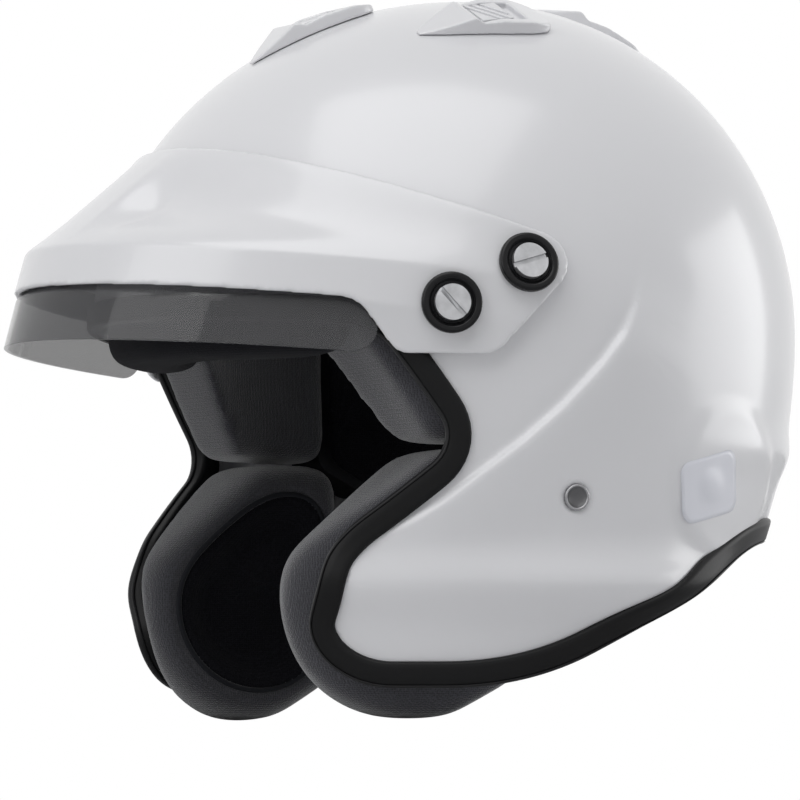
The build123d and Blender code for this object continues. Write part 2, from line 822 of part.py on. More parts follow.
# Cheek pads, crowned towards the face and drawn in at their edges
cheek_points = (
    (-cheek_pad_top_y, cheek_pad_top),
    (-cheek_pad_nose_y, cheek_pad_nose_z),
    (-cheek_pad_nose_y, -cheek_pad_bottom),
    (-cheek_pad_foot_y, -cheek_pad_bottom),
    (-cheek_pad_back_y, cheek_pad_back_z),
    (-cheek_pad_back_y, cheek_pad_top),
)
cheek_radii = (
    cheek_top_round, cheek_nose_round, cheek_foot_round, cheek_heel_round, cheek_back_round, cheek_back_round
)
cheek_centre = Vector(cheek_pad_centre_y, cheek_pad_centre_z)
pad_outer = helmet_form(pad_offset)
for name, side in (("left", 1), ("right", -1)):
    with BuildPart() as cheek_pad:
        for depth, size in zip(cheek_depth_shares, cheek_size_shares):
            with BuildSketch(Plane.YZ.offset(side * (cheek_pad_inner_x + cheek_pad_depth * depth))):
                with BuildLine():
                    FilletPolyline(
                        *[cheek_centre + (Vector(*point) - cheek_centre) * size for point in cheek_points],
                        radius=[size * radius for radius in cheek_radii],
                        close=True,
                    )
                make_face()
        loft()
        add(pad_outer, mode=Mode.INTERSECT)
    finish(cheek_pad, f"cheek_pad_{name}")

with BuildPart() as pad_snaps:
    for side in (1, -1):
        for y, z in snap_places:
            with BuildSketch(side_plane(side, y, z, -shell_wall - seat_gap)):
                Circle(snap_radius)
            extrude(amount=-(pad_offset - shell_wall - 2 * seat_gap))
finish(pad_snaps, "pad_snaps")

# Chin strap: a short end with two rings on the left, a long end folded up on the right
strap_x = shell_x(rivet_y, rivet_z) - shell_wall - seat_gap - anchor_thickness
strap_x -= strap_anchor_gap + strap_thickness / 2
strap_plane = Plane.XZ.offset(-strap_y)
loop_width = ring_pitch + 2 * (ring_wire + ring_gap)
loop_height = 2 * (ring_wire + ring_gap)
loop_z = strap_end_z - loop_height / 2 - strap_thickness / 2
with BuildPart() as chin_strap_left:
    with BuildSketch(strap_plane):
        with BuildLine():
            FilletPolyline(
                (strap_x, strap_top_z),
                (strap_x, strap_bend_z),
                (strap_drop_x, strap_drop_z),
                (strap_drop_x, strap_end_z),
                radius=[strap_bend_round, strap_bend_round],
            )
            offset(amount=strap_thickness / 2, side=Side.BOTH)
        make_face()
        with Locations((strap_drop_x, loop_z)):
            SlotOverall(loop_width + 2 * strap_thickness, loop_height + 2 * strap_thickness)
            SlotOverall(loop_width, loop_height, mode=Mode.SUBTRACT)
    extrude(amount=strap_width / 2, both=True)
finish(chin_strap_left, "chin_strap_left")

with BuildPart() as chin_strap_right:
    with BuildSketch(strap_plane):
        with BuildLine():
            inner = strap_drop_x - strap_fold_pitch
            last = inner - strap_fold_pitch
            turn = strap_fold_pitch / 2 - strap_gap
            FilletPolyline(
                (-strap_x, strap_top_z),
                (-strap_x, strap_bend_z),
                (-strap_drop_x, strap_drop_z),
                (-strap_drop_x, strap_fold_low_z),
                (-inner, strap_fold_low_z),
                (-inner, strap_fold_high_z),
                (-last, strap_fold_high_z),
                (-last, strap_fold_low_z),
                radius=[strap_bend_round, strap_bend_round, turn, turn, turn, turn],
            )
            offset(amount=strap_thickness / 2, side=Side.BOTH)
        make_face()
    extrude(amount=strap_width / 2, both=True)
finish(chin_strap_right, "chin_strap_right")

with BuildPart() as strap_snap:
    snap_x = -last + strap_thickness / 2 + strap_gap
    with BuildSketch(Plane.YZ.offset(snap_x)):
        with Locations((strap_y, strap_fold_high_z - snap_cap_drop)):
            Circle(snap_cap_radius)
    extrude(amount=snap_cap_height)
finish(strap_snap, "strap_snap")

ring_half_width = strap_width / 2 + ring_round
for name, shift in (("inner", -ring_pitch / 2), ("outer", ring_pitch / 2)):
    with BuildPart() as d_ring:
        with BuildLine(Plane.YZ.offset(strap_drop_x + shift)) as wire:
            FilletPolyline(
                (strap_y, loop_z),
                (strap_y + ring_half_width, loop_z),
                (strap_y + ring_half_width, loop_z - ring_depth),
                (strap_y, loop_z - ring_depth),
                radius=[ring_round, ring_bow_round],
            )
        with BuildSketch(Plane(origin=wire.line @ 0, z_dir=wire.line % 0)):
            Circle(ring_wire)
        sweep()
        mirror(about=Plane.XZ.offset(-strap_y))
    finish(d_ring, f"d_ring_{name}")
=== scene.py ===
"""Dresses the open-face racing helmet: gloss shell, rubber trim, peak, shade, vents and padding.

Every shape is worked out in millimetres in the frame of the solids and turned to metres when its
mesh is made. The shell's form is two half ellipsoids over a skirt whose width and reach change
with height, and everything that lies on the helmet is seated on that form.
"""

import json
import logging
import math
from dataclasses import dataclass, field
from enum import Enum

import bmesh
import bpy
import numpy as np
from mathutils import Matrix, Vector


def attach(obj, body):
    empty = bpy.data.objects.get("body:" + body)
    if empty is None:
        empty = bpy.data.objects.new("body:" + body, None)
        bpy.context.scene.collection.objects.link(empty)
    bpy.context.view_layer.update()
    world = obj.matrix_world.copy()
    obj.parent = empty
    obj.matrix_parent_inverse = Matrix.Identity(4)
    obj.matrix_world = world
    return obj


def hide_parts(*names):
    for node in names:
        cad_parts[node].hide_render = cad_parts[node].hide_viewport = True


logging.basicConfig(level=logging.INFO, format="%(name)s: %(message)s")
LOG = logging.getLogger("helmet")

MM = 0.001
MERGE = 0.00002
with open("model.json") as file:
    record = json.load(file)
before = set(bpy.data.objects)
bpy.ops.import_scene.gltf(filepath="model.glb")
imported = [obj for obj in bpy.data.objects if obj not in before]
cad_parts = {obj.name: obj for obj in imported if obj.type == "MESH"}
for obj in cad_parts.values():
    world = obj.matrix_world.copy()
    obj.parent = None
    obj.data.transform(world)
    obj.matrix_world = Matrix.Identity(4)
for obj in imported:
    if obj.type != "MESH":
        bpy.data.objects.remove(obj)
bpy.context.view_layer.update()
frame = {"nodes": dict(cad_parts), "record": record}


class Effect(Enum):
    """Surface effects that a finish may carry."""

    GRAIN = "grain"
    KNIT = "knit"
    WEAVE = "weave"


def socket(group: bpy.types.NodeTree, name: str, inward: bool, value: float | None = None) -> None:
    """Adds a float socket to a node group.

    Args:
        group: the node group.
        name: the socket's name.
        inward: True for an input.
        value: the input's default.
    """
    made = group.interface.new_socket(
        name=name, in_out="INPUT" if inward else "OUTPUT", socket_type="NodeSocketFloat"
    )
    if value is not None:
        made.default_value = value


def joined(
    tree: bpy.types.NodeTree,
    operation: str,
    first: bpy.types.NodeSocket,
    second: bpy.types.NodeSocket | float,
) -> bpy.types.NodeSocket:
    """Joins two values by a maths node.

    Args:
        tree: the node tree.
        operation: the node's operation.
        first: the socket of the first value.
        second: the socket of the second value, or the value itself.

    Returns:
        The result's socket.
    """
    node = tree.nodes.new("ShaderNodeMath")
    node.operation = operation
    tree.links.new(first, node.inputs[0])
    if isinstance(second, float):
        node.inputs[1].default_value = second
    else:
        tree.links.new(second, node.inputs[1])
    return node.outputs[0]


def effect_group(effect: Effect) -> bpy.types.NodeTree:
    """Builds a surface effect once: object coordinates in, a height and a painted shade factor out.

    GRAIN is fine noise. KNIT is small uneven cells, as the loops of a knitted cover. WEAVE is
    crossed bands, as on webbing.

    Args:
        effect: which effect to build.

    Returns:
        The node group.
    """
    found = bpy.data.node_groups.get(effect.value)
    if found:
        return found
    group = bpy.data.node_groups.new(effect.value, "ShaderNodeTree")
    socket(group, "Scale", True, 1000.0)
    socket(group, "Height", False)
    socket(group, "Shade", False)
    nodes, links = group.nodes, group.links
    start, end = nodes.new("NodeGroupInput"), nodes.new("NodeGroupOutput")
    place = nodes.new("ShaderNodeTexCoord")

    def texture(kind: str) -> bpy.types.Node:
        """Adds a texture in object coordinates, at the group's scale.

        Args:
            kind: the node's type.

        Returns:
            The texture's node.
        """
        made = nodes.new(kind)
        links.new(place.outputs["Object"], made.inputs["Vector"])
        links.new(start.outputs["Scale"], made.inputs["Scale"])
        return made

    if effect is Effect.GRAIN:
        noise = texture("ShaderNodeTexNoise")
        noise.inputs["Detail"].default_value = 3.0
        result = noise.outputs["Fac"]
    elif effect is Effect.KNIT:
        cells = texture("ShaderNodeTexVoronoi")
        cells.inputs["Randomness"].default_value = 0.45
        result = cells.outputs["Distance"]
    else:
        bands = []
        for direction in ("Y", "Z", "X"):
            wave = texture("ShaderNodeTexWave")
            wave.wave_type = "BANDS"
            wave.bands_direction = direction
            wave.inputs["Distortion"].default_value = 0.1
            bands.append(wave.outputs["Fac"])
        total = joined(group, "ADD", joined(group, "ADD", bands[0], bands[1]), bands[2])
        result = joined(group, "MULTIPLY", total, 1 / 3)
    links.new(result, end.inputs["Height"])
    # The same value is the painted shade factor: the colour is darker where the relief is low.
    links.new(result, end.inputs["Shade"])
    return group


@dataclass(frozen=True)
class Texture:
    """An effect laid over a finish: its relief's strength and height, and its painted shade where low."""

    effect: Effect
    scale: float
    relief: float
    height: float = 0.0002
    painted_shade_depth: float = 0.0


@dataclass(frozen=True)
class Finish:
    """One finish, as the settings of a surface shader and a texture laid over it."""

    name: str
    colour: tuple[float, float, float]
    roughness: float
    metallic: float = 0.0
    specular: float = 0.5
    coat: float = 0.0
    coat_roughness: float = 0.03
    sheen: float = 0.0
    sheen_roughness: float = 0.35
    alpha: float = 1.0
    texture: Texture | None = None

    def material(self) -> bpy.types.Material:
        """Makes the material, or finds the one already made.

        Returns:
            The material.
        """
        name = f"{self.name}_finish"
        found = bpy.data.materials.get(name)
        if found:
            return found
        made = bpy.data.materials.new(name)
        made.use_nodes = True
        nodes, links = made.node_tree.nodes, made.node_tree.links
        shader = nodes["Principled BSDF"]
        settings = {
            "Base Color": (*self.colour, 1.0),
            "Roughness": self.roughness,
            "Metallic": self.metallic,
            "Specular IOR Level": self.specular,
            "Coat Weight": self.coat,
            "Coat Roughness": self.coat_roughness,
            "Sheen Weight": self.sheen,
            "Sheen Roughness": self.sheen_roughness,
            "Alpha": self.alpha,
        }
        for setting, value in settings.items():
            shader.inputs[setting].default_value = value
        if self.texture is None:
            return made
        laid = nodes.new("ShaderNodeGroup")
        laid.node_tree = effect_group(self.texture.effect)
        laid.inputs["Scale"].default_value = self.texture.scale
        bump = nodes.new("ShaderNodeBump")
        bump.inputs["Strength"].default_value = self.texture.relief
        bump.inputs["Distance"].default_value = self.texture.height
        links.new(laid.outputs["Height"], bump.inputs["Height"])
        links.new(bump.outputs["Normal"], shader.inputs["Normal"])
        # Painted shade: the base colour darkens where the effect's relief is low.
        if self.texture.painted_shade_depth:
            tone = nodes.new("ShaderNodeMix")
            tone.data_type = "RGBA"
            painted_shade_colour = tuple(part * (1 - self.texture.painted_shade_depth) for part in self.colour)
            tone.inputs[6].default_value = (*painted_shade_colour, 1.0)
            tone.inputs[7].default_value = (*self.colour, 1.0)
            links.new(laid.outputs["Shade"], tone.inputs[0])
            links.new(tone.outputs[2], shader.inputs["Base Color"])
        return made


# Knit relief whose low places are darkened as painted shade.
KNITTING = Texture(Effect.KNIT, 1300.0, 0.9, 0.00035, 0.7)

GLOSS_WHITE = Finish("gloss_white", (0.775, 0.775, 0.795), 0.3, coat=0.5, coat_roughness=0.15)
TRIM_RUBBER = Finish(
    "trim_rubber",
    (0.01, 0.01, 0.0105),
    0.36,
    specular=0.12,
    texture=Texture(Effect.GRAIN, 1400.0, 0.12),
)
TRIM_BEAD = Finish("trim_bead", (0.02, 0.02, 0.021), 0.36, specular=0.15)
WASHER_RUBBER = Finish(
    "washer_rubber",
    (0.007, 0.007, 0.008),
    0.24,
    specular=0.2,
    texture=Texture(Effect.GRAIN, 1800.0, 0.1),
)
SMOKED = Finish("smoked_shade", (0.1, 0.1, 0.105), 0.06, specular=0.4, alpha=0.53)
# Painted reflection: the patchy darker colour stands in for the dark and bright sectors that the turned heads
# reflect.
TURNED = Finish(
    "turned_aluminium",
    (0.66, 0.665, 0.685),
    0.36,
    metallic=0.75,
    texture=Texture(Effect.GRAIN, 210.0, 0.03, painted_shade_depth=0.55),
)
POLISHED = Finish("polished_steel", (0.46, 0.46, 0.47), 0.14, metallic=1.0)
PLATED = Finish("plated_steel", (0.52, 0.52, 0.53), 0.34, metallic=1.0)
# The knitted cover's lit copy. The darker copy below is the same knit, with painted shade for faces inside
# the helmet.
KNITTED = Finish(
    "knitted_cover",
    (0.085, 0.085, 0.098),
    0.92,
    specular=0.08,
    sheen=0.8,
    sheen_roughness=0.5,
    texture=KNITTING,
)
# Painted shade: a darker copy of the same knit, for the brow, the head lining and the cheek pads' inner
# faces, where shade falls inside the helmet.
SHADED_KNIT = Finish(
    "shaded_knit",
    (0.02, 0.02, 0.024),
    0.92,
    specular=0.02,
    sheen=0.06,
    sheen_roughness=0.4,
    texture=KNITTING,
)
PIPING = Finish(
    "piping_cord",
    (0.02, 0.021, 0.025),
    0.8,
    specular=0.1,
    sheen=0.4,
    texture=Texture(Effect.WEAVE, 900.0, 0.4),
)
# Webbing weave whose low bands are darkened as painted shade.
WEBBING = Finish(
    "strap_webbing",
    (0.022, 0.022, 0.024),
    0.85,
    specular=0.15,
    sheen=0.15,
    texture=Texture(Effect.WEAVE, 500.0, 0.6, 0.0004, 0.4),
)
FOAM = Finish(
    "bead_foam",
    (0.03, 0.03, 0.033),
    0.85,
    specular=0.15,
    texture=Texture(Effect.GRAIN, 420.0, 0.35, 0.0004),
)
BLACK_PLASTIC = Finish("black_plastic", (0.03, 0.03, 0.03), 0.5)
RIVET_RING = Finish("rivet_ring", (0.33, 0.33, 0.34), 0.25, metallic=0.6)
# Painted shade: the rivet's well is darkened for the shade inside its hollow.
RIVET_WELL_SHADE = Finish("rivet_well_shade", (0.14, 0.14, 0.145), 0.35, metallic=0.15, specular=0.4)
BARE_LABEL = Finish("bare_label", (0.78, 0.79, 0.85), 0.34)

NODE_FINISHES: dict[str, Finish] = {
    "impact_liner": FOAM,
    "peak_shade": SMOKED,
    "peak_screws": TURNED,
    "screw_washers": WASHER_RUBBER,
    "peak_spacers": WASHER_RUBBER,
    "peak_nuts": PLATED,
    "strap_anchors": PLATED,
    "head_restraint_terminals": PLATED,
    "pad_snaps": BLACK_PLASTIC,
    "chin_strap_left": WEBBING,
    "chin_strap_right": WEBBING,
    "strap_snap": POLISHED,
    "d_ring_inner": POLISHED,
    "d_ring_outer": POLISHED,
}

# Sections of the trim: how far in from its free edge, and how far out from the shell.
TRIM_SECTION = np.array(
    [
        (9.5, 0.1), (9.35, 1.4), (8.6, 2.15), (7.0, 2.3), (4.0, 2.3), (1.6, 2.25),
        (0.5, 1.7), (0.0, 0.6), (0.0, -3.4), (0.5, -4.9), (1.6, -5.4), (7.0, -5.5),
        (9.0, -5.3), (9.5, -4.6), (9.5, -3.3), (9.4, -1.5),
    ]
)
BEAD_SECTION = np.array(
    [(0.9, 2.35), (0.2, 1.9), (-0.35, 1.2), (-0.5, 0.3), (-0.5, -0.9), (0.05, -0.9), (0.05, 0.6)]
)

# Profiles of a strap rivet: radius, and height over the shell.
RING_PROFILE = np.array([(4.9, -0.9), (4.9, 0.2), (4.7, 0.6), (4.35, 0.75), (4.0, 0.6), (3.8, 0.2)])
WELL_PROFILE = np.array([(3.8, 0.2), (3.5, -0.25), (2.8, -0.75), (1.8, -1.1), (0.9, -1.25), (0.02, -1.3)])


def eased(value: np.ndarray) -> np.ndarray:
    """A value held between 0 and 1, and eased at both ends."""
    share = np.clip(value, 0, 1)
    return share * share * (3 - 2 * share)


def placed(name: str, data: bpy.types.ID) -> bpy.types.Object:
    """Puts a mesh, a lamp or a camera into the scene, at the origin.

    Args:
        name: the object's name.
        data: what it holds.

    Returns:
        The object.
    """
    made = bpy.data.objects.new(name, data)
    bpy.context.scene.collection.objects.link(made)
    return made


def dress(mesh: bpy.types.Mesh, finish: Finish) -> None:
    """Gives a whole mesh one finish and smooth faces.

    Args:
        mesh: the mesh.
        finish: its finish.
    """
    mesh.materials.clear()
    mesh.materials.append(finish.material())
    mesh.polygons.foreach_set("use_smooth", np.ones(len(mesh.polygons), bool))
    mesh.polygons.foreach_set("material_index", np.zeros(len(mesh.polygons), np.int32))


def places_of(piece: bpy.types.Object) -> np.ndarray:
    """Reads a piece's vertices.

    Args:
        piece: the piece.

    Returns:
        Their places in millimetres, one to a row.
    """
    places = np.empty(len(piece.data.vertices) * 3)
    piece.data.vertices.foreach_get("co", places)
    return places.reshape(-1, 3) / MM


def move_to(piece: bpy.types.Object, places: np.ndarray) -> None:
    """Puts a piece's vertices at places in millimetres, one to a row."""
    piece.data.vertices.foreach_set("co", places.ravel() * MM)
    piece.data.update()


def body_of(node: str) -> str:
    """The name of the body that a node belongs to."""
    bodies = frame["record"]["behaviour"]["bodies"]
    return next(body for body, members in bodies.items() if node in members)


def settle(piece: bpy.types.Object, node: str, stands_for: bool = True) -> None:
    """Gives a piece the body of a node, and lets it stand for that node.

    Args:
        piece: the finished piece.
        node: the node that it goes with.
        stands_for: False for an extra piece that leaves the node shown.
    """
    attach(piece, body_of(node))
    if stands_for:
        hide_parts(node)
    LOG.info("%s on %s", piece.name, body_of(node))


def grid_piece(
    name: str,
    points: np.ndarray,
    finish: Finish,
    wrap_u: bool = False,
    wrap_v: bool = False,
    keep: np.ndarray | None = None,
) -> bpy.types.Object:
    """A smooth quad surface from a grid of points.

    Args:
        name: the piece's name.
        points: rows by columns by 3, in millimetres, faces outwards for a right-handed grid.
        finish: its finish.
        wrap_u: joins the last row to the first.
        wrap_v: joins the last column to the first.
        keep: which cells stay, rows by columns of the cells.

    Returns:
        The object, at the origin.
    """
    rows, columns = points.shape[:2]
    index = np.arange(rows * columns).reshape(rows, columns)
    down = np.roll(index, -1, 0) if wrap_u else index[1:]
    here = index if wrap_u else index[:-1]
    if wrap_v:
        cells = np.stack([here, np.roll(here, -1, 1), np.roll(down, -1, 1), down], -1)
    else:
        cells = np.stack([here[:, :-1], here[:, 1:], down[:, 1:], down[:, :-1]], -1)
    if keep is not None:
        cells = cells[keep]
    cells = cells.reshape(-1, 4)
    used = np.unique(cells)
    places = np.full(rows * columns, -1)
    places[used] = np.arange(len(used))
    mesh = bpy.data.meshes.new(name)
    mesh.from_pydata(points.reshape(-1, 3)[used] * MM, [], places[cells].tolist())
    dress(mesh, finish)
    mesh.update()
    return placed(name, mesh)


def cleaned(piece: bpy.types.Object, outward: bool = True) -> None:
    """Merges doubles.

    Args:
        piece: the piece.
        outward: True where the faces are turned outwards as well.
    """
    work = bmesh.new()
    work.from_mesh(piece.data)
    bmesh.ops.remove_doubles(work, verts=work.verts, dist=MERGE)
    if outward:
        bmesh.ops.recalc_face_normals(work, faces=work.faces)
    work.to_mesh(piece.data)
    work.free()
    piece.data.update()


def thicken(piece: bpy.types.Object, thickness: float) -> None:
    """Gives a sheet its thickness.

    Args:
        piece: the sheet.
        thickness: how thick it becomes inwards, in millimetres.
    """
    wall = piece.modifiers.new("wall", "SOLIDIFY")
    wall.thickness = thickness * MM
    wall.offset = -1.0


def copied(node: str, name: str, finish: Finish) -> bpy.types.Object:
    """Copies a node's mesh, merged and with its own finish.

    Args:
        node: the node.
        name: the piece's name.
        finish: its finish.

    Returns:
        The piece.
    """
    mesh = frame["nodes"][node].data.copy()
    mesh.name = name
    piece = placed(name, mesh)
    cleaned(piece, outward=False)
    dress(mesh, finish)
    return piece


def remeshed(
    node: str, name: str, finish: Finish, voxel: float, relax: int, draw_in: float = 0.0
) -> bpy.types.Object:
    """Copies a node with an even mesh and relaxed, soft edges.

    Args:
        node: the node.
        name: the piece's name.
        finish: its finish.
        voxel: size of the remesh in millimetres.
        relax: how often the surface is relaxed.
        draw_in: how far the surface is drawn in, in millimetres, for a piece that slides.

    Returns:
        The piece, its modifiers baked into its mesh.
    """
    piece = copied(node, name, finish)
    remesh = piece.modifiers.new("remesh", "REMESH")
    remesh.mode = "VOXEL"
    remesh.voxel_size = voxel * MM
    remesh.use_smooth_shade = True
    smooth = piece.modifiers.new("relax", "SMOOTH")
    smooth.factor = 0.5
    smooth.iterations = relax
    if draw_in:
        inset = piece.modifiers.new("inset", "DISPLACE")
        inset.strength = -draw_in * MM
        inset.mid_level = 0.0
    graph = bpy.context.evaluated_depsgraph_get()
    baked = bpy.data.meshes.new_from_object(piece.evaluated_get(graph))
    piece.modifiers.clear()
    piece.data = baked
    dress(baked, finish)
    return piece


@dataclass
class HelmetForm:
    """The shell's outer form, in millimetres, as width and reach that change with height."""

    half_width: float = 124.0
    front_reach: float = 147.0
    rear_reach: float = 127.0
    crown_height: float = 129.0
    highest_share: float = 0.99999
    skirt_drop: float = 140.0
    skirt_taper_share: float = 0.11
    nape_drop: float = 80.0
    nape_taper: float = 17.0
    nape_roll: float = 2.7
    nape_roll_level: float = 46.0
    nape_roll_spread: float = 8.0
    jaw_bulge: float = 6.4
    jaw_bulge_level: float = 98.0
    jaw_bulge_spread: float = 10.0
    normal_step: float = 0.5

    def radii(self, z: np.ndarray) -> tuple[np.ndarray, np.ndarray, np.ndarray]:
        """Measures the form's slice at a height.

        Args:
            z: the height.

        Returns:
            The half width, the front reach and the rear reach.
        """
        low = np.minimum(z, 0.0)
        high = np.clip(z / self.crown_height, 0.0, self.highest_share)
        share = np.sqrt(1 - high**2)
        taper = 1 - self.skirt_taper_share * (low / self.skirt_drop) ** 2
        bulge = self.jaw_bulge * np.exp(-(((low + self.jaw_bulge_level) / self.jaw_bulge_spread) ** 2))
        roll = self.nape_roll * np.exp(-(((low + self.nape_roll_level) / self.nape_roll_spread) ** 2))
        nape = self.rear_reach - self.nape_taper * (low / self.nape_drop) ** 2 + roll
        return (self.half_width * taper + bulge) * share, self.front_reach * taper * share, nape * share

    def at(self, turn: np.ndarray, z: np.ndarray) -> np.ndarray:
        """Finds points of the form.

        Args:
            turn: the turn round the helmet, 0 in front and positive to the left.
            z: the height.

        Returns:
            The points.
        """
        width, front, rear = self.radii(z)
        reach = np.where(np.cos(turn) > 0, front, rear)
        return np.stack([width * np.sin(turn), -reach * np.cos(turn), z], -1)

    def normals(self, points: np.ndarray) -> np.ndarray:
        """Finds outward unit normals from the form's implicit equation.

        Args:
            points: points near the form.

        Returns:
            Their normals.
        """
        x, y, z = points[..., 0], points[..., 1], points[..., 2]
        step = self.normal_step

        def field_at(a: np.ndarray, b: np.ndarray, c: np.ndarray) -> np.ndarray:
            """Squares the size of points relative to the form's slices at their heights.

            Args:
                a: their places across.
                b: their places along.
                c: their heights.

            Returns:
                1 on the form, less inside it.
            """
            width, front, rear = self.radii(np.minimum(c, self.crown_height - 1))
            reach = np.where(b < 0, front, rear)
            return (a / width) ** 2 + (b / reach) ** 2

        slope = np.stack(
            [
                field_at(x + step, y, z) - field_at(x - step, y, z),
                field_at(x, y + step, z) - field_at(x, y - step, z),
                field_at(x, y, z + step) - field_at(x, y, z - step),
            ],
            -1,
        )
        return unit(slope)

    def seated(self, points: np.ndarray, stand: np.ndarray | float = 0.0) -> np.ndarray:
        """Moves points within their slices onto the form.

        Args:
            points: the points.
            stand: how far they then stand off, along the form's normals.

        Returns:
            The points moved.
        """
        width, front, rear = self.radii(points[..., 2])
        reach = np.where(points[..., 1] < 0, front, rear)
        size = np.sqrt((points[..., 0] / width) ** 2 + (points[..., 1] / reach) ** 2)
        on = points.copy()
        on[..., :2] /= np.maximum(size, 1e-6)[..., None]
        return on + self.normals(on) * np.asarray(stand)[..., None]

    def side(self, y: np.ndarray, z: np.ndarray, stand: float = 0.0) -> np.ndarray:
        """Finds points on the wearer's left.

        Args:
            y: their places along, in side view.
            z: their heights.
            stand: how far they stand off the form.

        Returns:
            The points.
        """
        width, front, rear = self.radii(z)
        reach = np.where(y < 0, front, rear)
        x = width * np.sqrt(np.maximum(1 - (y / reach) ** 2, 1e-6))
        return self.seated(np.stack([x, y, z], -1), stand)


def rounded(points: list[tuple[float, float]], radii: list[float], steps: int = 14) -> np.ndarray:
    """Rounds the inner corners of an open line by arcs.

    Args:
        points: the corners.
        radii: one radius for each inner corner.
        steps: points along each arc.

    Returns:
        The line's points.
    """
    out = [np.array(points[0], float)]
    for k, radius in enumerate(radii, 1):
        here = np.array(points[k], float)
        back = np.array(points[k - 1], float) - here
        on = np.array(points[k + 1], float) - here
        back, on = back / np.linalg.norm(back), on / np.linalg.norm(on)
        half = math.acos(float(np.clip(back @ on, -1, 1))) / 2
        centre = here + (back + on) / np.linalg.norm(back + on) * radius / math.sin(half)
        first = here + back * radius / math.tan(half) - centre
        last = here + on * radius / math.tan(half) - centre
        sweep = math.atan2(first[0] * last[1] - first[1] * last[0], first @ last)
        turn = np.linspace(0, sweep, steps)
        across = first[0] * np.cos(turn) - first[1] * np.sin(turn)
        along = first[0] * np.sin(turn) + first[1] * np.cos(turn)
        out.extend(centre + np.stack([across, along], -1))
    out.append(np.array(points[-1], float))
    return np.array(out)


def resampled(line: np.ndarray, pitch: float) -> np.ndarray:
    """Spaces points evenly along a line in any number of dimensions.

    Args:
        line: the line's points.
        pitch: about how far apart the new points are.

    Returns:
        The new points, both ends included.
    """
    along = np.concatenate([[0], np.cumsum(np.linalg.norm(np.diff(line, axis=0), axis=1))])
    count = max(int(round(along[-1] / pitch)), 2)
    at = np.linspace(0, along[-1], count + 1)
    return np.stack([np.interp(at, along, line[:, k]) for k in range(line.shape[1])], -1)


def graded(spans: list[tuple[float, float]], last: float) -> np.ndarray:
    """Lists values that rise or fall from span to span, each span at its own pitch.

    Args:
        spans: where each span begins, and its pitch.
        last: where the last span ends.

    Returns:
        The values, the last one included.
    """
    ends = [start for start, _ in spans[1:]] + [last]
    runs = [
        np.linspace(start, end, max(int(round(abs(end - start) / pitch)), 1), endpoint=False)
        for (start, pitch), end in zip(spans, ends)
    ]
    return np.concatenate([*runs, [last]])


def unit(vectors: np.ndarray) -> np.ndarray:
    """Vectors brought to a length of one."""
    return vectors / np.linalg.norm(vectors, axis=-1, keepdims=True)


def tangents(path: np.ndarray) -> np.ndarray:
    """Unit directions along a closed path."""
    return unit(np.roll(path, -1, 0) - np.roll(path, 1, 0))


def evened(line: np.ndarray, passes: int) -> np.ndarray:
    """Evens out a closed line, or the vectors along one.

    Args:
        line: the line.
        passes: how often each place becomes the mean of itself and its neighbours.

    Returns:
        The evened line.
    """
    for _ in range(passes):
        line = (np.roll(line, 1, 0) + line + np.roll(line, -1, 0)) / 3
    return line


